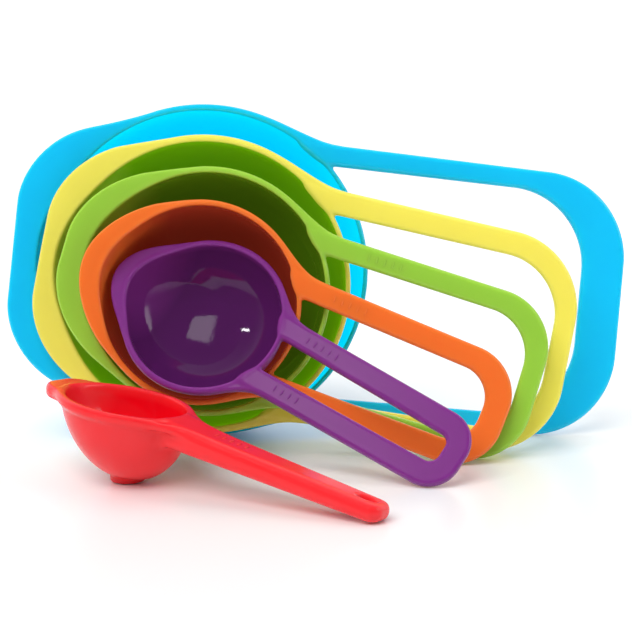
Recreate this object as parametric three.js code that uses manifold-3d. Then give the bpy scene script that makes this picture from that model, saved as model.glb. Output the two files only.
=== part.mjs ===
// A set of six plastic kitchen measures: five nesting cups with open loop handles, fanned out
// inside one another and standing on edge, and one small scoop lying in front of them.
// Millimetres, +Z up. +X runs towards the handle ends, -Y faces the viewer, the table is Z = 0.
import * as THREE from "three";
import Module from "manifold-3d";

const wasm = await Module();
wasm.setup();
const { Manifold, Mesh: Solid } = wasm;

// ---- driving dimensions ----------------------------------------------------------------------
const PLATE = 2.2; // thickness of every flange, wing and handle strap
const WALL = 1.3; // bowl wall
const FLOOR_WALL = 1.6; // wall at the flat base of a bowl
const BASE_SHARE = 0.34; // radius of a bowl's flat base as a share of its mouth radius
const ROUND = 48; // segments round a bowl
const RINGS = 9; // rings down a bowl

// One row per cup. In each cup's own frame +x runs out along the handle, +y across it and +z out
// of the mouth; the rim plane is z = 0.
//   mouth, flange    radii of the opening and of the flange round it
//   depth, square    inside depth of the bowl and how square its profile is (2 is an ellipse)
//   leg / loop       half width, end and corner radius of the handle's outside and inside
//   splay            how far the legs close in towards the bowl, mm per 100 mm
//   wing             where the pouring wing leaves the flange, its shoulder, corner and end
//   spout            radius of the pouring groove and how far its tip lies from the bowl's axis
//   at, yaw, lean, swivel   centre of the rim, and how the cup is turned, in mm and degrees
const CUPS = [
  {
    name: "one_cup_measure", colour: 0x16b8ee, mouth: 45.2, flange: 47.2, depth: 52.4, square: 2.5,
    leg: [37.4, 120.3, 24], loop: [32.4, 108.4, 22], splay: [-1.7, -1.1],
    wing: [[-26, 39.4], [-43, 34.4], [-53.6, 31], [-54.4, 11]], spout: [30, 46.6],
    at: [-31.4, 0, 47.1], yaw: 5.8, lean: 10.7, swivel: 6.6,
  },
  {
    name: "half_cup_measure", colour: 0xf3dc4c, mouth: 39.7, flange: 41.6, depth: 38.4, square: 2.05,
    leg: [29.9, 103.2, 20.4], loop: [23.9, 97.9, 16.4], splay: [-3.7, -3.5],
    wing: [[-22.5, 35.6], [-36, 30.0], [-44.5, 26.5], [-46.2, 9]], spout: [24, 43],
    at: [-31.5, -11, 44], yaw: -1.6, lean: 7.9, swivel: 10.7,
  },
  {
    name: "third_cup_measure", colour: 0x8cc63a, mouth: 32.7, flange: 34.4, depth: 34.5, square: 2.2,
    leg: [23.1, 94.5, 15.6], loop: [17.6, 89.2, 12.6], splay: [-2.1, -2.3],
    wing: [[-22.5, 26.2], [-32.8, 21.5], [-40, 18.3], [-41.7, 4]], spout: [23, 36.2],
    at: [-30, -16.8, 44.1], yaw: -3.3, lean: 9.3, swivel: 16.1,
  },
  {
    name: "quarter_cup_measure", colour: 0xf4642c, mouth: 26.5, flange: 28.1, depth: 34, square: 2.4,
    leg: [16.0, 88.9, 13.2], loop: [10.1, 82.4, 8.7], splay: [-1.8, -2.2],
    wing: [[-18.5, 21.2], [-28.3, 15.5], [-33.2, 12.7], [-34.3, 2]], spout: [12.5, 28.8],
    at: [-31.2, -22.3, 41.9], yaw: -1.8, lean: 13, swivel: 21.2,
  },
  {
    name: "tablespoon_measure", colour: 0x7a2c8c, mouth: 21.1, flange: 22.9, depth: 15.6, square: 2.2,
    leg: [10.8, 81.7, 8.7], loop: [4.4, 75.9, 2.9], splay: [-0.8, -1.9],
    wing: [[-16, 15.8], [-22.4, 10.0], [-27.8, 8.2], [-29.4, 0.5]], spout: [7.6, 24.8],
    at: [-30.2, -24.5, 39.2], yaw: -6.6, lean: 34.4, swivel: 29.6,
  },
];

const SCOOP = {
  name: "half_tablespoon_scoop", colour: 0xee2430,
  mouth: 15.8, flange: 17.9, rim: 2.2, // radii of the opening and of its rim, and the rim's depth
  depth: 18.3, square: 2.05, // inside of the bowl
  outside: [17.2, 20.4, 19.8], // outer radius and depth of the bowl, and where its base is cut flat
  foot: [4.6, 22.6], // radius of the low foot, and its length below the rim plane before it is trimmed
  bar: [6.2, 4.6, 80.2], // the handle's half width at the bowl and at its tip, and where it ends
  barDepth: [6.8, 4.8], // the handle's depth at the bowl and at its tip
  hole: [2.6, 1.5, 74.4], // hanging hole: half length, half width and place along the handle
  lip: [[-14.2, 10.9], [-18.4, 8.6], [-22.3, 7.8], [-23, 3.6]],
  spout: [8, 16.8],
  // The rim slopes down towards the handle by tilt and the handle droops further; the bowl hangs
  // straight down under its rim.
  yaw: -31.1, tilt: 8.5, roll: -4.9, droop: 4.3, at: [-49.4, -49.4, 21.2],
};

// ---- shape helpers ---------------------------------------------------------------------------
const degrees = Math.PI / 180;

// A closed THREE geometry as a manifold solid.
function solid(geometry) {
  const g = geometry.index ? geometry.toNonIndexed() : geometry;
  const p = g.getAttribute("position").array;
  const seen = new Map();
  const vertices = [];
  const faces = [];
  for (let i = 0; i < p.length; i += 3) {
    const key = [p[i], p[i + 1], p[i + 2]].map((v) => Math.round(v * 1e4)).join();
    if (!seen.has(key)) {
      seen.set(key, vertices.length / 3);
      vertices.push(p[i], p[i + 1], p[i + 2]);
    }
    faces.push(seen.get(key));
  }
  const kept = [];
  for (let i = 0; i < faces.length; i += 3) {
    const [a, b, c] = [faces[i], faces[i + 1], faces[i + 2]];
    if (a !== b && b !== c && c !== a) kept.push(a, b, c);
  }
  return new Manifold(
    new Solid({
      numProp: 3,
      vertProperties: new Float32Array(vertices),
      triVerts: new Uint32Array(kept),
    }),
  );
}

// A flat shape standing between two heights.
function slab(shape, low, high) {
  const g = new THREE.ExtrudeGeometry(shape, {
    depth: high - low, bevelEnabled: false, curveSegments: 14,
  });
  return solid(g.translate(0, 0, low));
}

// A disc or a plug about the bowl's axis.
function plug(radius, low, high, segments = ROUND) {
  const g = new THREE.CylinderGeometry(radius, radius, high - low, segments);
  return solid(g.rotateX(Math.PI / 2).translate(0, 0, (low + high) / 2));
}

// Radius of a bowl at a depth below its rim.
function bowlRadius(mouth, depth, square, z) {
  return mouth * Math.pow(Math.max(0, 1 - Math.pow(z / depth, square)), 1 / square);
}

// A turned bowl: full at the rim, cut flat at the bottom.
function turned(mouth, depth, square, bottom, above) {
  const points = [new THREE.Vector2(0, above), new THREE.Vector2(mouth, above)];
  for (let i = 0; i <= RINGS; i++) {
    const z = bottom * Math.sin((i / RINGS) * Math.PI * 0.5);
    points.push(new THREE.Vector2(bowlRadius(mouth, depth, square, z), -z));
  }
  points.push(new THREE.Vector2(0, -bottom));
  // Lathe turns about +Y; a profile drawn from bottom to top faces outwards.
  const g = new THREE.LatheGeometry(points.reverse(), ROUND);
  return solid(g.rotateX(Math.PI / 2));
}

// The depth at which a bowl of this profile has the radius of its flat base.
function baseDepth(mouth, depth, square, radius) {
  return depth * Math.pow(1 - Math.pow(radius / mouth, square), 1 / square);
}

// A strap outline: two nearly parallel sides that end in two rounded corners.
function strap([half, end, corner], splay, start) {
  const w = (x) => half + (splay * (x - end)) / 100;
  const s = new THREE.Shape();
  s.moveTo(start, -w(start));
  s.lineTo(end - corner, -half);
  s.absarc(end - corner, corner - half, corner, -Math.PI / 2, 0, false);
  s.absarc(end - corner, half - corner, corner, 0, Math.PI / 2, false);
  s.lineTo(start, w(start));
  s.closePath();
  return s;
}

// The pouring wing opposite the handle, mirrored about the handle's axis.
function wing([leave, shoulder, corner, end]) {
  const s = new THREE.Shape();
  s.moveTo(leave[0] * 0.4, leave[1] * 0.6);
  s.lineTo(leave[0], leave[1]);
  s.lineTo(shoulder[0], shoulder[1]);
  s.quadraticCurveTo(corner[0], corner[1], end[0], Math.abs(end[1]));
  s.lineTo(end[0], -Math.abs(end[1]));
  s.quadraticCurveTo(corner[0], -corner[1], shoulder[0], -shoulder[1]);
  s.lineTo(leave[0], -leave[1]);
  s.lineTo(leave[0] * 0.4, -leave[1] * 0.6);
  s.closePath();
  return s;
}

// The pouring groove: a round bar that comes up out of the bowl and leaves the rim at the tip.
function groove(radius, tip, extra) {
  const slope = 60 * degrees;
  const length = 3 * tip;
  const g = new THREE.CylinderGeometry(radius + extra, radius + extra, length, 28);
  g.rotateZ(Math.PI / 2).rotateY(slope);
  return solid(g.translate(radius / Math.sin(slope) - tip, 0, 0));
}

// ---- one nesting cup -------------------------------------------------------------------------
function cup(c) {
  const outside = c.mouth + WALL;
  const base = BASE_SHARE * c.mouth;
  const inner = baseDepth(c.mouth, c.depth, c.square, base);
  const shell = turned(outside, c.depth + FLOOR_WALL, c.square, inner + FLOOR_WALL, 0);
  const room = turned(c.mouth, c.depth, c.square, inner, 1);

  const [half, end, corner] = c.leg;
  const handle = slab(strap([half, end, corner], c.splay[0], c.mouth * 0.45), -PLATE, 0);
  const finger = slab(strap(c.loop, c.splay[1], 1), -PLATE - 1, 1)
    .subtract(plug(outside, -PLATE - 2, 2));
  const plate = plug(c.flange, -PLATE, 0)
    .add(slab(wing(c.wing), -PLATE, 0))
    .add(handle)
    .subtract(finger);

  const rim = plug(outside, -PLATE - 0.2, 0);
  const below = new THREE.BoxGeometry(200, 200, 100).translate(0, 0, -50);
  const spoutOut = groove(c.spout[0], c.spout[1], WALL).intersect(solid(below));
  const spoutIn = groove(c.spout[0], c.spout[1], 0);
  const body = plate
    .add(rim)
    .add(shell)
    .add(spoutOut.intersect(turned(c.spout[1] + WALL, c.depth, 2, c.depth * 0.7, 0)))
    .subtract(room)
    .subtract(spoutIn.intersect(turned(c.spout[1], c.depth - 1, 2, c.depth * 0.66, 2)));
  return body;
}

// ---- the scoop -------------------------------------------------------------------------------
function scoop(s) {
  const inner = baseDepth(s.mouth, s.depth, s.square, BASE_SHARE * s.mouth);
  const [outside, outsideDepth, cut] = s.outside;
  const [tilt, roll] = [s.tilt * degrees, s.roll * degrees];
  const hang = new THREE.Matrix4()
    .makeShear(0, 0, 0, 0, -Math.tan(tilt) / Math.cos(roll), Math.tan(roll)).elements;
  const shell = turned(outside, outsideDepth, 2, cut, 0).transform(hang);
  const room = turned(s.mouth, s.depth, s.square, inner, 1).transform(hang);
  const foot = plug(s.foot[0], -s.foot[1], -inner - 1, 36).transform(hang);

  const [root, half, tip] = s.bar;
  const corner = half * 0.75;
  const bar = new THREE.Shape();
  const start = s.mouth * 0.7;
  bar.moveTo(start, -root);
  bar.lineTo(tip - corner, -half);
  bar.absarc(tip - corner, corner - half, corner, -Math.PI / 2, 0, false);
  bar.absarc(tip - corner, half - corner, corner, 0, Math.PI / 2, false);
  bar.lineTo(start, root);
  bar.closePath();
  // The bar is deepest at the bowl and a little shallower at its tip.
  const [rootDepth, tipDepth] = s.barDepth;
  const wedge = new THREE.Shape();
  wedge.moveTo(0, 0);
  wedge.lineTo(tip + 1, 0);
  wedge.lineTo(tip + 1, -tipDepth);
  wedge.lineTo(s.mouth, -rootDepth);
  wedge.lineTo(0, -rootDepth);
  wedge.closePath();
  const side = slab(wedge, -10, 10).rotate([90, 0, 0]);
  const slot = new THREE.Shape();
  slot.absellipse(s.hole[2], 0, s.hole[0], s.hole[1], 0, 2 * Math.PI, false);
  const handle = slab(bar, -8, 0)
    .intersect(side)
    .subtract(slab(slot, -9, 1))
    .translate([-start, 0, 0])
    .rotate([0, s.droop, 0])
    .translate([start, 0, 0]);

  const spoutIn = groove(s.spout[0], s.spout[1], 0);
  return plug(s.flange, -s.rim, 0)
    .add(slab(wing(s.lip), -s.rim - 1.1, 0))
    .add(shell)
    .add(handle)
    .add(foot)
    .subtract(room)
    .subtract(spoutIn.intersect(turned(s.spout[1], s.depth, 2, s.depth * 0.5, 2)))
    .transform(laid(s).elements)
    .subtract(solid(new THREE.BoxGeometry(400, 400, 20).translate(0, 0, -10)));
}

// ---- placing ---------------------------------------------------------------------------------
// A cup's axes in the set: its mouth turned by yaw and leaned back, its handle swivelled down.
function placed(c) {
  const [yaw, lean, swivel] = [c.yaw, c.lean, c.swivel].map((v) => v * degrees);
  const out = new THREE.Vector3(
    Math.sin(yaw) * Math.cos(lean), -Math.cos(yaw) * Math.cos(lean), Math.sin(lean));
  const right = new THREE.Vector3(Math.cos(yaw), Math.sin(yaw), 0);
  const up = new THREE.Vector3().crossVectors(out, right);
  const along = right.clone().multiplyScalar(Math.cos(swivel)).addScaledVector(up, -Math.sin(swivel));
  const across = right.clone().multiplyScalar(Math.sin(swivel)).addScaledVector(up, Math.cos(swivel));
  return new THREE.Matrix4().makeBasis(along, across, out).setPosition(...c.at);
}

// The scoop stands on its foot and on the underside of its handle's tip, both flat on the table.
function laid(s) {
  return new THREE.Matrix4()
    .makeRotationZ(s.yaw * degrees)
    .multiply(new THREE.Matrix4().makeRotationY(s.tilt * degrees))
    .multiply(new THREE.Matrix4().makeRotationX(s.roll * degrees))
    .setPosition(...s.at);
}

const set = new THREE.Group();
set.name = "measuring_cup_set";

function add(spec, body, matrix) {
  const m = body.getMesh();
  const g = new THREE.BufferGeometry();
  const xyz = new Float32Array((m.vertProperties.length / m.numProp) * 3);
  for (let i = 0, j = 0; i < m.vertProperties.length; i += m.numProp, j += 3)
    xyz.set(m.vertProperties.subarray(i, i + 3), j);
  g.setAttribute("position", new THREE.BufferAttribute(xyz, 3));
  g.setIndex(new THREE.BufferAttribute(new Uint32Array(m.triVerts), 1));
  g.applyMatrix4(matrix);
  g.computeBoundingBox();
  g.translate(0, 0, -g.boundingBox.min.z); // each piece is let down onto the table
  g.computeVertexNormals();
  const mesh = new THREE.Mesh(
    g, new THREE.MeshStandardMaterial({ color: spec.colour, roughness: 0.3, metalness: 0 }));
  mesh.name = spec.name;
  set.add(mesh);
}

for (const c of CUPS) add(c, cup(c), placed(c));
add(SCOOP, scoop(SCOOP), new THREE.Matrix4());

// The frame's origin is the middle of the set's footprint, on the table.
const box = new THREE.Box3().setFromObject(set);
const middle = box.getCenter(new THREE.Vector3());
for (const mesh of set.children) mesh.geometry.translate(-middle.x, -middle.y, -box.min.z);

export default set;
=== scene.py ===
"""A set of moulded plastic kitchen measures: five nested cups on edge and a scoop in front."""
import math

import bpy
import numpy as np
from mathutils import Matrix, Vector


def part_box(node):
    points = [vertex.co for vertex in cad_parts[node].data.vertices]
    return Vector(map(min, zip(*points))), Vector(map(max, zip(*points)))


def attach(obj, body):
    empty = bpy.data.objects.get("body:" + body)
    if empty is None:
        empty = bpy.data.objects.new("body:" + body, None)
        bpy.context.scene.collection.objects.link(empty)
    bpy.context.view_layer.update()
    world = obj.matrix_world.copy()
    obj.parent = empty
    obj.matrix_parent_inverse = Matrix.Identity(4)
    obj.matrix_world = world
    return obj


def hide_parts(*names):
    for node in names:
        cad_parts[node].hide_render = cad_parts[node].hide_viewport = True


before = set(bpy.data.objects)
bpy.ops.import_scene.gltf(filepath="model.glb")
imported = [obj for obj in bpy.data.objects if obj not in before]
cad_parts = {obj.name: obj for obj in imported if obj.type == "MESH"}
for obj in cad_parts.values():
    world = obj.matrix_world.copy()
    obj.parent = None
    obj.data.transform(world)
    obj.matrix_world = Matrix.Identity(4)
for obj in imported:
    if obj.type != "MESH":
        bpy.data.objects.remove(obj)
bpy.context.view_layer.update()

MM = 0.001

# ---- driving dimensions ----------------------------------------------------------------------
# Each cup's own frame has +x along its handle, +y across it and +z out of its mouth, with the
# rim plane at z = 0. Lengths are in millimetres and angles in degrees.
PLATE = 2.2  # thickness of flange, wing and straps
WALL = 1.25  # bowl wall
BASE_WALL = 1.6  # wall at the flat base
BASE_SHARE = 0.34  # radius of the flat base as a share of the mouth's
EDGE = 0.75  # radius on the edges of the flange, wing and straps
LIP = 0.7  # radius where the rim turns down into the bowl
SPOUT_SLOPE = math.radians(60)
SPOUT_SHARE = 0.8  # how far down its bowl a cup's pouring channel reaches
SPOUT_BEND = 5.0  # how softly a cup's channel runs into its bowl
TICK_START = 7.5  # from a bowl's mouth to the first raised tick on each leg
TICK_GAP = 2.3

# Fillets, by how softly two surfaces run into each other.
ROOT_FILLET = 7  # a cup's handle into its flange
WING_FILLET = 6  # a cup's pouring wing into its flange
LOOP_FILLET = 1.5  # the loop's two corners beside the bowl
FLOOR_FILLET = 4  # a bowl's wall into its flat floor
BASE_FILLET = 2.5  # a cup's wall into its flat base, outside
CREASE = 0.6  # a sharp inner corner or edge
SHARP = 0.01  # next to no fillet
TINY = 1e-6  # keeps a number that is divided by from being nought

# The legs' roots, which run a little way in over a cup's mouth.
ROOT_REACH = 0.9
ROOT_ROUND = 2.5
ROOT_EDGE = 0.5
ROOT_BLEND = 1.0
ROOT_START = 3  # they are only on the handle's side of the cup's middle
FACE_SUNK = 0.1  # how far a joined part's face lies under the flange's
RIM_WIDTH = 1.15  # what is left of the flange between the mouth and the loop

# The grids that the surfaces are found on.
MARGIN = 2  # past the ends of a piece
WIDE_MARGIN = 3  # past its sides and its bowl
DEEP_MARGIN = 4  # under a cup's base
PLATE_ZONE = (-3.4, 0.8)  # heights with thinner layers, around the flange
THIN_LAYER = 0.4
PLATE_LOW = -4  # a cup has nothing but its bowl below this

# Each row holds: step, the grid's. mouth and flange, radii. square, the power of the bowl's
# curve, 2 for an ellipse. leg and loop, the handle's outer and inner straps, and wing, the
# pouring wing's: half width, reach, corner and how much wider it gets over 100 mm. spout, the
# channel's radius and reach. turn: yaw, lean and swivel. ticks: side and count for each leg.
CUPS = [
    dict(
        node="one_cup_measure", step=0.7, ticks=(),
        body="one_cup", slot="blue_plastic",
        mouth=45.2, flange=46.95, depth=52.4, square=2.5,
        leg=(37.3, 120.1, 24, -1.7), loop=(32.4, 108.4, 22, -1.1),
        wing=(32.1, 54.2, 18.5, -25), spout=(30, 46.6),
        turn=(5.8, 10.7, 6.6),
    ),
    dict(
        node="half_cup_measure", step=0.7, ticks=(),
        body="half_cup", slot="yellow_plastic",
        mouth=39.7, flange=41.6, depth=38.4, square=2.05,
        leg=(29.9, 103.2, 20.4, -3.7), loop=(23.9, 97.9, 16.4, -3.5),
        wing=(28.1, 46.2, 17.5, -30), spout=(24, 41.2),
        turn=(-1.6, 7.9, 10.7),
    ),
    dict(
        node="third_cup_measure", step=0.7, ticks=((1, 5),),
        body="third_cup", slot="green_plastic",
        mouth=32.7, flange=34.4, depth=34.5, square=2.2,
        leg=(23.1, 94.5, 15.6, -2.1), loop=(17.6, 89.2, 12.6, -2.3),
        wing=(19.9, 41.7, 15.8, -36), spout=(23, 34.6),
        turn=(-3.3, 9.3, 16.1),
    ),
    dict(
        node="quarter_cup_measure", step=0.7, ticks=((1, 5),),
        body="quarter_cup", slot="orange_plastic",
        mouth=26.5, flange=28.1, depth=34, square=2.4,
        leg=(16.0, 88.9, 13.2, -1.8), loop=(10.1, 82.4, 8.7, -2.2),
        wing=(12.7, 34.3, 12.3, -48), spout=(12.5, 27.5),
        turn=(-1.8, 13, 21.2),
    ),
    dict(
        node="tablespoon_measure", step=0.55, ticks=((1, 5), (-1, 4)),
        body="tablespoon", slot="purple_plastic",
        mouth=21.1, flange=22.9, depth=15.6, square=2.2,
        leg=(10.8, 81.7, 8.7, -0.8), loop=(4.4, 75.9, 2.9, -1.9),
        wing=(9.0, 29.3, 9.0, -25), spout=(9, 23.6),
        turn=(-6.6, 34.4, 29.6),
    ),
]

SCOOP = dict(
    node="half_tablespoon_scoop", step=0.42,
    body="scoop", slot="red_plastic",
    mouth=15.8, flange=17.9, rim=2.2, depth=18.3, square=2.05,
    outside=(17.2, 20.4, 19.8),  # the bowl's radius and depth, and where it is cut off flat
    foot=(4.6, 22.6, 1.0),  # radius, how far down it reaches, how far under the floor it starts
    bar=(6.2, 4.6, 80.1, 3.4),  # the handle's half width at its root and tip, reach and corner
    bar_depth=(6.8, 4.8),  # at its root and tip
    fold=0.7,  # where the handle turns down, as a share of the mouth
    hole=(2.6, 1.5, 74.4),  # half length, half width and place along the handle
    lip=(7.0, 22.8, 4.6, -30), spout=(8, 16.6),
    spout_share=0.6,  # how far down its bowl the pouring channel reaches
    shell_sunk=0.3,  # how far the bowl's wall ends under the rim's face
    yaw=-31.1, tilt=8.5, roll=-4.9,
    droop=4.3,  # how far the handle turns down from the rim
    height=21.2,  # of the middle of the mouth above the table
    fade=(3, 14),  # the rim sinks into the handle from so far past the mouth, over so much
    sink=(2, 1.3),  # how far it sinks there at its sides and at its top
    edges=dict(rim=0.9, lip=1.1, bar=2.6, bowl=1.5, mouth=1.0, hole=0.8),
    fillets=dict(lip=4, bar=9, foot=1.2, body=1.6, spout=1.0, lip_under=0.8),
    levels=(-25, 1),  # the grid's lowest and highest layers
    plate_low=-14,  # there is nothing but the bowl below this
    tick_start=29, ticks=5,
)

# Colours, linear: the moulding's own, the painted shade deep in a bowl backed by its neighbour,
# and a painted glow there that stands in for the light that comes through its thin wall.
COLOURS = {
    "blue_plastic": ((0.006, 0.55, 0.96), (0.002, 0.56, 0.96), (0.0, 0.25, 0.43)),
    "yellow_plastic": ((0.95, 0.79, 0.12), (0.16, 0.33, 0.006), (0.045, 0.115, 0.0)),
    "green_plastic": ((0.32, 0.60, 0.06), (0.075, 0.19, 0.004), (0.018, 0.038, 0.001)),
    "orange_plastic": ((0.93, 0.18, 0.028), (0.32, 0.03, 0.010), (0.06, 0.006, 0.003)),
    "purple_plastic": ((0.20, 0.028, 0.23), (0.055, 0.005, 0.07), (0.022, 0.004, 0.024)),
    "red_plastic": ((0.90, 0.026, 0.034), (0.72, 0.002, 0.008), (0.08, 0.0, 0.001)),
}


# ---- distance fields -------------------------------------------------------------------------
def soft_min(a, b, k):
    """The lesser of two fields, their join rounded as softly as k."""
    h = np.clip(0.5 + 0.5 * (b - a) / k, 0, 1)
    return b + (a - b) * h - k * h * (1 - h)


def soft_max(a, b, k):
    """The greater of two fields, their join rounded as softly as k."""
    return -soft_min(-a, -b, k)


def strap(x, y, half, end, corner, splay):
    """An endless strap along +x that stops at end with two rounded corners."""
    width = half + splay * (x - end) / 100
    across = np.abs(y) - (width - corner)
    along = x - (end - corner)
    outer = np.hypot(np.maximum(along, 0), np.maximum(across, 0))
    return outer + np.minimum(np.maximum(along, across), 0) - corner


def sheet(outline, z, low, high, edge):
    """A flat sheet of the outline between two heights, its edges rounded."""
    level = np.abs(z - (low + high) / 2) - (high - low) / 2 + edge
    out = outline + edge
    return np.hypot(np.maximum(out, 0), np.maximum(level, 0)) + np.minimum(np.maximum(out, level), 0) - edge


def bowl(x, y, z, mouth, depth, square):
    """A round bowl that opens at z = 0 and goes straight up above it."""
    a = np.hypot(x, y) / mouth + TINY
    b = np.maximum(-z, 0) / depth + TINY
    s = (a**square + b**square) ** (1 / square)
    slope = np.hypot((a / s) ** (square - 1) / mouth, (b / s) ** (square - 1) / depth)
    return (s - 1) / slope


def groove(x, y, z, radius, tip):
    """A slanted round channel whose mouth reaches out to the tip."""
    u = x + tip - radius / math.sin(SPOUT_SLOPE)
    side = u * math.sin(SPOUT_SLOPE) + z * math.cos(SPOUT_SLOPE)
    return np.hypot(side, y) - radius


def floor_depth(c):
    """How deep a bowl is where its flat floor cuts it off."""
    return c["depth"] * (1 - BASE_SHARE ** c["square"]) ** (1 / c["square"])


def cup_outline(c, x, y):
    """The flange, pouring wing and loop handle, seen from above."""
    ring = np.hypot(x, y)
    wing = np.maximum(strap(-x, y, *c["wing"]), x + c["flange"] / 4)
    handle = np.maximum(strap(x, y, *c["leg"]), -x)
    loop = soft_max(strap(x, y, *c["loop"]), c["mouth"] + RIM_WIDTH - ring, LOOP_FILLET)
    loop = np.maximum(loop, -x)
    # The wing's fillet grows from a quarter to three quarters of the way out to its side, so it
    # dies out before it reaches the top and bottom of the ring.
    grown = np.clip(-x / c["flange"] * 2 - 0.5, 0, 1)
    rounded = soft_min(ring - c["flange"], wing, SHARP + WING_FILLET * grown)
    outline = soft_min(rounded, handle, ROOT_FILLET)
    return soft_max(outline, -loop, CREASE)


def cup_inner(c, x, y, z):
    """The inside of a cup's bowl with its pouring channel, before the floor."""
    radius, tip = c["spout"]
    reach = bowl(x, y, z, tip, c["depth"] * SPOUT_SHARE, 2)
    channel = np.maximum(groove(x, y, z, radius, tip), reach)
    return soft_min(bowl(x, y, z, c["mouth"], c["depth"], c["square"]), channel, SPOUT_BEND)


def cup_field(c):
    """A whole cup: its flange with wing and handle, its bowl and the roots of its legs."""
    floor = floor_depth(c)

    def field(x, y, z):
        inner = cup_inner(c, x, y, z)
        room = soft_max(inner, -floor - z, FLOOR_FILLET)
        shell = soft_max(inner - WALL, -(floor + BASE_WALL) - z, BASE_FILLET)
        plate = sheet(cup_outline(c, x, y), z, -PLATE, 0, EDGE)
        body = soft_min(plate, soft_max(shell, z, 2 * EDGE), CREASE)
        body = soft_max(body, -room, LIP)
        # The legs' roots run a little way in over the mouth, on the handle's side only.
        legs = soft_max(strap(x, y, *c["leg"]), -strap(x, y, *c["loop"]), ROOT_EDGE)
        legs = soft_max(legs, c["mouth"] - ROOT_REACH - np.hypot(x, y), ROOT_ROUND)
        roots = np.maximum(legs, ROOT_START - x)
        return soft_min(body, sheet(roots, z, -PLATE, -FACE_SUNK, EDGE), ROOT_BLEND)

    return field


def hung(s, x, y, z):
    """Places in the scoop's bowl, which hangs straight down under its sloping rim."""
    tilt, roll = math.radians(s["tilt"]), math.radians(s["roll"])
    return x + z * math.tan(tilt) / math.cos(roll), y - z * math.tan(roll), z


def scoop_inner(s, x, y, z):
    """The inside of the scoop's bowl with its pouring channel, before the floor."""
    radius, tip = s["spout"]
    reach = bowl(x, y, z, tip, s["depth"] * s["spout_share"], 2)
    channel = np.maximum(groove(x, y, z, radius, tip), reach)
    round_room = bowl(*hung(s, x, y, z), s["mouth"], s["depth"], s["square"])
    return soft_min(round_room, channel, s["fillets"]["spout"])


def scoop_field(s):
    """The whole scoop: its rim with lip and handle, its bowl and its foot."""
    mouth, edges, fillets = s["mouth"], s["edges"], s["fillets"]
    floor = floor_depth(s)
    root, half, end, corner = s["bar"]
    root_depth, tip_depth = s["bar_depth"]
    taper = 100 * (half - root) / (end - mouth)
    fade_start, fade = s["fade"]
    side_sink, top_sink = s["sink"]
    outside, outside_depth, cut = s["outside"]
    foot_radius, foot_low, foot_top = s["foot"]
    hole_long, hole_wide, hole_at = s["hole"]
    start, droop = mouth * s["fold"], math.radians(s["droop"])
    rise = scoop_turn(s)[2]

    def field(x, y, z):
        lip = np.maximum(strap(-x, y, *s["lip"]), x)
        # The handle's own places: it turns down from the rim where it starts.
        along = start + (x - start) * math.cos(droop) - z * math.sin(droop)
        level = z * math.cos(droop) + (x - start) * math.sin(droop)
        bar = np.maximum(strap(along, y, half, end, corner, taper), start - x)
        # The rim's sheet runs out into the handle and sinks away inside it.
        sunk = np.clip((x - mouth - fade_start) / fade, 0, 1)
        top = soft_min(np.hypot(x, y) - s["flange"], lip, fillets["lip"])
        top = soft_min(top, bar + side_sink * sunk, fillets["bar"])
        rim = sheet(top, np.maximum(level, z) + top_sink * sunk, -s["rim"], 0, edges["rim"])
        # The lip is thicker than the rim.
        thick = sheet(lip, z, -s["rim"] - edges["lip"], -FACE_SUNK, edges["lip"])
        rim = soft_min(rim, thick, fillets["lip_under"])
        toward_tip = np.clip((along - mouth) / (end - mouth), 0, 1)
        under = -(root_depth + (tip_depth - root_depth) * toward_tip)
        bar = soft_max(bar, np.maximum(level, under - level), edges["bar"])
        # The bowl and its foot hang straight down.
        u, v, _ = hung(s, x, y, z)
        shell = soft_max(bowl(u, v, z, outside, outside_depth, 2), -cut - z, edges["bowl"])
        shell = soft_max(shell, z + s["shell_sunk"], fillets["foot"])
        foot = np.maximum(-foot_low - z, z + floor + foot_top)
        foot = np.maximum(np.hypot(u, v) - foot_radius, foot)
        shell = soft_min(shell, foot, fillets["foot"])
        body = soft_min(soft_min(shell, rim, fillets["body"]), bar, fillets["body"])
        room = soft_max(scoop_inner(s, x, y, z), -floor - z, FLOOR_FILLET)
        body = soft_max(body, -room, edges["mouth"])
        hole = (np.hypot((along - hole_at) / hole_long, y / hole_wide) - 1) * hole_wide
        body = soft_max(body, -hole, edges["hole"])
        # Foot and tip stand flat on the table.
        height = s["height"] + rise[0] * x + rise[1] * y + rise[2] * z
        return soft_max(body, -height, CREASE)

    return field


# ---- meshing ---------------------------------------------------------------------------------
def sample(field, xs, ys, zs, bowl_end, plate_low):
    """The field on a grid. Past the bowl's end there is nothing below the plate."""
    outside = 5.0
    values = np.full((len(xs), len(ys), len(zs)), outside)
    near, flat = xs <= bowl_end, zs >= plate_low
    rows = np.ones(len(ys), bool)
    for some_x, some_z in ((near, zs > -math.inf), (~near, flat)):
        grid = np.meshgrid(xs[some_x], ys, zs[some_z], indexing="ij")
        values[np.ix_(some_x, rows, some_z)] = field(*grid)
    return values


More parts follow.
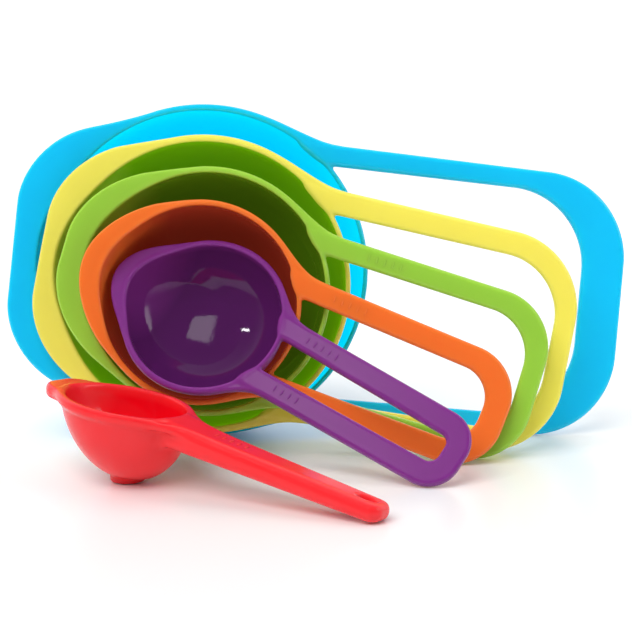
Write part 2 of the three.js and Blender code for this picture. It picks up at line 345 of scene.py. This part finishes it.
def net(values, xs, ys, zs):
    """Vertices and quads of the zero surface of values on a grid of three lists of places."""
    places = np.stack(np.meshgrid(xs, ys, zs, indexing="ij"), -1)
    cells = tuple(n - 1 for n in values.shape)
    total = np.zeros(cells + (3,))
    count = np.zeros(cells)
    crossings = []
    for axis in range(3):
        first = [slice(None)] * 3
        second = [slice(None)] * 3
        first[axis] = slice(None, -1)
        second[axis] = slice(1, None)
        a, b = values[tuple(first)], values[tuple(second)]
        cut = (a < 0) != (b < 0)
        share = np.where(cut, a / np.where(cut, a - b, 1), 0)[..., None]
        point = places[tuple(first)] * (1 - share) + places[tuple(second)] * share
        point = point * cut[..., None]
        others = [k for k in range(3) if k != axis]
        for step in ((0, 0), (0, 1), (1, 0), (1, 1)):
            part = [slice(None)] * 3
            for k, d in zip(others, step):
                part[k] = slice(d, d + cells[k])
            total += point[tuple(part)]
            count += cut[tuple(part)]
        crossings.append((cut, a < 0))
    used = count > 0
    index = np.full(cells, -1)
    index[used] = np.arange(used.sum())
    vertices = total[used] / count[used][:, None]
    quads = []
    for axis, (cut, leaves) in enumerate(crossings):
        u, v = (axis + 1) % 3, (axis + 2) % 3
        at = np.argwhere(cut)
        at = at[(at[:, u] > 0) & (at[:, v] > 0) & (at[:, u] < cells[u]) & (at[:, v] < cells[v])]
        corners = []
        for du, dv in ((-1, -1), (0, -1), (0, 0), (-1, 0)):
            c = at.copy()
            c[:, u] += du
            c[:, v] += dv
            corners.append(index[tuple(c.T)])
        quad = np.stack(corners, 1)
        outward = leaves[tuple(at.T)]
        quad[~outward] = quad[~outward][:, ::-1]
        quads.append(quad)
    return vertices, np.concatenate(quads)


def slope(field, p, h=0.04):
    """The field's slope at each place, found over a short step each way."""
    parts = []
    for axis in range(3):
        d = np.zeros(3)
        d[axis] = h
        hi, lo = p + d, p - d
        parts.append((field(*hi.T) - field(*lo.T)) / (2 * h))
    return np.stack(parts, 1)


def settle(field, p, limit=0.6, rounds=4, share=0.8, least=0.05):
    """Move the net's vertices on to the surface itself, a share of the way each round."""
    start = p.copy()
    for _ in range(rounds):
        g = slope(field, p)
        step = -field(*p.T)[:, None] * g / np.maximum((g * g).sum(1), least)[:, None]
        p = start + np.clip(p + share * step - start, -limit, limit)
    return p


def spread(low, high, step):
    """Evenly spaced places from low to high, about a step apart."""
    return np.linspace(low, high, max(2, round((high - low) / step)) + 1)


def moulding(name, field, low, high, step, levels, bowl_end, plate_low, ticks):
    """A mesh of the field with its raised ticks, in metres, smooth by the field's own slopes."""
    axes = spread(low[0], high[0], step), spread(low[1], high[1], step), levels
    vertices, quads = net(sample(field, *axes, bowl_end, plate_low), *axes)
    vertices = settle(field, vertices)
    normals = slope(field, vertices)
    faces = quads.tolist()
    moulded = len(vertices)
    for at in ticks:
        points, out, around = tick(at)
        faces += [[len(vertices) + k for k in face] for face in around]
        vertices = np.concatenate([vertices, points])
        normals = np.concatenate([normals, out])
    mesh = bpy.data.meshes.new(name)
    mesh.from_pydata((vertices * MM).tolist(), [], faces)
    mesh.validate()
    mesh.polygons.foreach_set("use_smooth", [True] * len(mesh.polygons))
    normals /= np.maximum(np.linalg.norm(normals, axis=1), TINY)[:, None]
    mesh.normals_split_custom_set_from_vertices(normals.tolist())
    raised = mesh.attributes.new("raised", "FLOAT", "POINT")
    raised.data.foreach_set("value", (np.arange(len(vertices)) >= moulded).astype(np.float32))
    piece = bpy.data.objects.new(name, mesh)
    bpy.context.scene.collection.objects.link(piece)
    return piece, vertices


def tick(at):
    """A raised bar across a handle: one half of it stands above the moulding's face."""
    long, wide, high = 1.25, 0.33, 0.34
    rings, turns = 7, 14
    points = [(0, 0, high)]
    for i in range(1, rings):
        for j in range(turns):
            a, b = math.pi * i / rings, 2 * math.pi * j / turns
            side = math.sin(a)
            points.append((wide * side * math.cos(b), long * side * math.sin(b), high * math.cos(a)))
    points.append((0, 0, -high))
    points = np.array(points)
    normals = points / np.array([wide, long, high]) ** 2
    last = len(points) - 1
    faces = []
    for j in range(turns):
        k = (j + 1) % turns
        faces.append((0, 1 + j, 1 + k))
        for i in range(rings - 2):
            a, b = 1 + i * turns, 1 + (i + 1) * turns
            faces.append((a + j, b + j, b + k, a + k))
        low = 1 + (rings - 2) * turns
        faces.append((low + j, last, low + k))
    return points + np.array(at), normals, faces


# ---- placing ---------------------------------------------------------------------------------
def cup_turn(yaw, lean, swivel):
    """The rotation that takes a cup from its own frame to the set's."""
    yaw, lean, swivel = (math.radians(v) for v in (yaw, lean, swivel))
    out = Vector((math.sin(yaw) * math.cos(lean), -math.cos(yaw) * math.cos(lean), math.sin(lean)))
    right = Vector((math.cos(yaw), math.sin(yaw), 0))
    up = out.cross(right)
    along = right * math.cos(swivel) - up * math.sin(swivel)
    across = right * math.sin(swivel) + up * math.cos(swivel)
    return Matrix((along, across, out)).transposed().to_4x4()


def scoop_turn(s):
    """The rotation that takes the scoop from its own frame to the set's."""
    return (
        Matrix.Rotation(math.radians(s["yaw"]), 4, "Z")
        @ Matrix.Rotation(math.radians(s["tilt"]), 4, "Y")
        @ Matrix.Rotation(math.radians(s["roll"]), 4, "X")
    )


def place(piece, turn, node):
    """Turn a piece and bring the middle of its box to the middle of the node's, on the table."""
    piece.data.transform(turn)
    co = np.empty(len(piece.data.vertices) * 3)
    piece.data.vertices.foreach_get("co", co)
    co = co.reshape(-1, 3)
    low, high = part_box(node)
    middle = (Vector(co.min(0)) + Vector(co.max(0))) / 2
    shift = (low + high) / 2 - middle
    shift.z = low.z - co[:, 2].min()
    piece.data.transform(Matrix.Translation(shift))
    return shift


# ---- materials -------------------------------------------------------------------------------
def plastic(slot):
    """Semi-gloss moulded plastic: slightly translucent, with a fine moulded grain, and painted shade and
    glow down in its bowl.
    """
    own, painted_shade, painted_glow = COLOURS[slot]
    material = bpy.data.materials.new(slot)
    material.use_nodes = True
    tree = material.node_tree
    nodes, links = tree.nodes, tree.links
    shader = nodes["Principled BSDF"]
    shader.inputs["IOR"].default_value = 1.49
    shader.inputs["Specular IOR Level"].default_value = 0.35
    # The painted glow: light that the bowl's inside gives off in place of the light through its thin wall.
    shader.inputs["Emission Color"].default_value = (*painted_glow, 1)
    shader.inputs["Subsurface Radius"].default_value = (1.0, 1.0, 1.0)
    shader.inputs["Subsurface Scale"].default_value = 0.005

    where = nodes.new("ShaderNodeTexCoord")
    inside = nodes.new("ShaderNodeAttribute")
    inside.attribute_name = "inside"
    # Down in a bowl the base colour turns to the painted shade.
    colour = nodes.new("ShaderNodeMix")
    colour.data_type = "RGBA"
    colour.inputs["A"].default_value = (*own, 1)
    colour.inputs["B"].default_value = (*painted_shade, 1)
    links.new(inside.outputs["Fac"], colour.inputs["Factor"])
    # Down in a bowl the surface glows with that painted light.
    links.new(inside.outputs["Fac"], shader.inputs["Emission Strength"])

    clouds = nodes.new("ShaderNodeTexNoise")
    clouds.inputs["Scale"].default_value = 38
    clouds.inputs["Detail"].default_value = 3
    links.new(where.outputs["Object"], clouds.inputs["Vector"])
    vary = nodes.new("ShaderNodeMapRange")
    vary.inputs["To Min"].default_value = 0.95
    vary.inputs["To Max"].default_value = 1.05
    links.new(clouds.outputs["Fac"], vary.inputs["Value"])
    tint = nodes.new("ShaderNodeHueSaturation")
    links.new(vary.outputs["Result"], tint.inputs["Value"])
    links.new(colour.outputs["Result"], tint.inputs["Color"])
    links.new(tint.outputs["Color"], shader.inputs["Base Color"])

    gloss = nodes.new("ShaderNodeMapRange")
    gloss.inputs["To Min"].default_value = 0.15
    gloss.inputs["To Max"].default_value = 0.25
    links.new(clouds.outputs["Fac"], gloss.inputs["Value"])

    # Light doesn't wander through the raised ticks, which are too thin.
    raised = nodes.new("ShaderNodeAttribute")
    raised.attribute_name = "raised"
    wander = nodes.new("ShaderNodeMapRange")
    wander.inputs["To Min"].default_value = 0.5
    wander.inputs["To Max"].default_value = 0
    links.new(raised.outputs["Fac"], wander.inputs["Value"])
    links.new(wander.outputs["Result"], shader.inputs["Subsurface Weight"])

    # The polished inside of a bowl mirrors the windows sharply.
    polish = nodes.new("ShaderNodeMapRange")
    polish.inputs["To Min"].default_value = 1.0
    polish.inputs["To Max"].default_value = 0.22
    links.new(inside.outputs["Fac"], polish.inputs["Value"])
    rough = nodes.new("ShaderNodeMath")
    rough.operation = "MULTIPLY"
    links.new(gloss.outputs["Result"], rough.inputs[0])
    links.new(polish.outputs["Result"], rough.inputs[1])
    links.new(rough.outputs["Value"], shader.inputs["Roughness"])

    grain = nodes.new("ShaderNodeTexNoise")
    grain.inputs["Scale"].default_value = 1400
    grain.inputs["Detail"].default_value = 2
    links.new(where.outputs["Object"], grain.inputs["Vector"])
    bump = nodes.new("ShaderNodeBump")
    bump.inputs["Strength"].default_value = 0.03
    bump.inputs["Distance"].default_value = 0.0002
    links.new(grain.outputs["Fac"], bump.inputs["Height"])
    links.new(bump.outputs["Normal"], shader.inputs["Normal"])
    return material


def mark_inside(piece, vertices, inner, spec):
    """An attribute that rises from 0 at the rim and the pouring channel to 1 far down in a bowl, where it
    brings the painted shade, the painted glow and the polish.
    """
    start, height = 0.3, 2.5  # under the rim
    channel = 0.35  # the share of the mouth's radius where the pouring channel is
    skin = 0.6  # about half a wall
    x, y, z = vertices.T
    down = np.clip((-z - start) / height, 0, 1)
    across = np.clip((x / spec["mouth"] + 1) / channel, 0, 1)
    room = np.maximum(inner(spec, x, y, z), -floor_depth(spec) - z)
    value = down * across * (room < skin)
    attribute = piece.data.attributes.new("inside", "FLOAT", "POINT")
    attribute.data.foreach_set("value", value.astype(np.float32))


# ---- pieces ----------------------------------------------------------------------------------
def make_cup(c):
    half, end, _, splay = c["leg"]
    reach_y = max(c["flange"], half - splay) + WIDE_MARGIN
    low = (-c["wing"][1] - MARGIN, -reach_y)
    high = (end + MARGIN, reach_y)
    below, above = PLATE_ZONE
    coarse = spread(-c["depth"] - DEEP_MARGIN, below, c["step"])
    levels = np.concatenate([coarse, spread(below, above, THIN_LAYER)[1:]])
    middle = (half + c["loop"][0]) / 2
    ticks = []
    for side, count in c["ticks"]:
        for i in range(count):
            x = c["mouth"] + TICK_START + TICK_GAP * i
            ticks.append((x, side * (middle - splay * (end - x) / 100), 0))
    name, bowl_end = c["node"] + "_moulding", c["flange"] + WIDE_MARGIN
    grid = (low, high, c["step"], levels, bowl_end, PLATE_LOW)
    piece, vertices = moulding(name, cup_field(c), *grid, ticks)
    mark_inside(piece, vertices, cup_inner, c)
    place(piece, cup_turn(*c["turn"]), c["node"])
    return piece


def make_scoop(s):
    low = (-s["lip"][1] - MARGIN, -s["flange"] - MARGIN)
    high = (s["bar"][2] + MARGIN, s["flange"] + MARGIN)
    levels = spread(*s["levels"], s["step"])
    drop = math.tan(math.radians(s["droop"]))
    ticks = []
    for i in range(s["ticks"]):
        x = s["tick_start"] + TICK_GAP * i
        ticks.append((x, 0, (s["mouth"] * s["fold"] - x) * drop))
    name, bowl_end = s["node"] + "_moulding", s["flange"] + WIDE_MARGIN
    grid = (low, high, s["step"], levels, bowl_end, s["plate_low"])
    piece, vertices = moulding(name, scoop_field(s), *grid, ticks)
    mark_inside(piece, vertices, scoop_inner, s)
    place(piece, scoop_turn(s), s["node"])
    return piece


for spec, make in [(c, make_cup) for c in CUPS] + [(SCOOP, make_scoop)]:
    piece = make(spec)
    piece.data.materials.append(plastic(spec["slot"]))
    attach(piece, spec["body"])
    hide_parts(spec["node"])


# ---- stage, light and camera -----------------------------------------------------------------
def pale_floor():
    mesh = bpy.data.meshes.new("floor")
    side = 6.0
    corners = [(-side, -side, 0), (side, -side, 0), (side, side, 0), (-side, side, 0)]
    mesh.from_pydata(corners, [], [(0, 1, 2, 3)])
    floor = bpy.data.objects.new("floor", mesh)
    clear = 0.0002  # so that the faces that stand on it don't lie in it
    floor.location.z = -clear
    bpy.context.scene.collection.objects.link(floor)
    material = bpy.data.materials.new("floor")
    material.use_nodes = True
    shader = material.node_tree.nodes["Principled BSDF"]
    shader.inputs["Base Color"].default_value = (0.93, 0.93, 0.93, 1)
    shader.inputs["Roughness"].default_value = 0.3
    mesh.materials.append(material)


def lamp(name, kind, watts, place_at, aim, size=None):
    data = bpy.data.lights.new(name, kind)
    data.energy = watts
    made = bpy.data.objects.new(name, data)
    made.location = place_at
    made.rotation_euler = (Vector(aim) - Vector(place_at)).to_track_quat("-Z", "Y").to_euler()
    bpy.context.scene.collection.objects.link(made)
    if size:
        data.shape = "RECTANGLE"
        data.size, data.size_y = size
    return made


def studio():
    """A white cove behind and a dimmer room in front, a broad soft key and three windows."""
    middle = (0, 0, 0.04)
    small_bowl = (-0.031, 0, 0.03)  # it mirrors the window and the spark
    key = lamp("key", "SUN", 2.4, (-0.35, -0.55, 0.85), middle)
    key.data.angle = math.radians(50)
    key.visible_glossy = False
    lamp("window", "AREA", 0.33, (-0.21, -0.62, 0.93), small_bowl, (0.17, 0.19))
    lamp("spark", "AREA", 0.16, (-0.70, -0.45, 0.88), small_bowl, (0.036, 0.03))
    lamp("side_window", "AREA", 1.6, (0.9, -0.3, 0.5), middle, (0.3, 0.5))
    world = bpy.data.worlds.new("studio")
    world.use_nodes = True
    nodes, links = world.node_tree.nodes, world.node_tree.links
    where = nodes.new("ShaderNodeTexCoord")
    axes = nodes.new("ShaderNodeSeparateXYZ")
    links.new(where.outputs["Generated"], axes.inputs["Vector"])
    fade = nodes.new("ShaderNodeMapRange")
    fade.interpolation_type = "SMOOTHSTEP"
    fade.inputs["From Min"].default_value = -0.45
    fade.inputs["From Max"].default_value = 0.5
    fade.inputs["To Min"].default_value = 0.12
    fade.inputs["To Max"].default_value = 1.12
    links.new(axes.outputs["Y"], fade.inputs["Value"])
    background = nodes["Background"]
    background.inputs["Color"].default_value = (1, 1, 1, 1)
    links.new(fade.outputs["Result"], background.inputs["Strength"])
    bpy.context.scene.world = world
    bpy.context.scene.view_settings.view_transform = "Standard"


def camera():
    data = bpy.data.cameras.new("camera")
    data.sensor_width = 36
    data.lens = 113.92
    cam = bpy.data.objects.new("camera", data)
    cam.location = (-0.00124, -0.5400, 0.1336)
    down = 10  # degrees below level
    cam.rotation_euler = (math.radians(90 - down), 0, 0)
    bpy.context.scene.collection.objects.link(cam)
    bpy.context.scene.camera = cam


pale_floor()
studio()
camera()
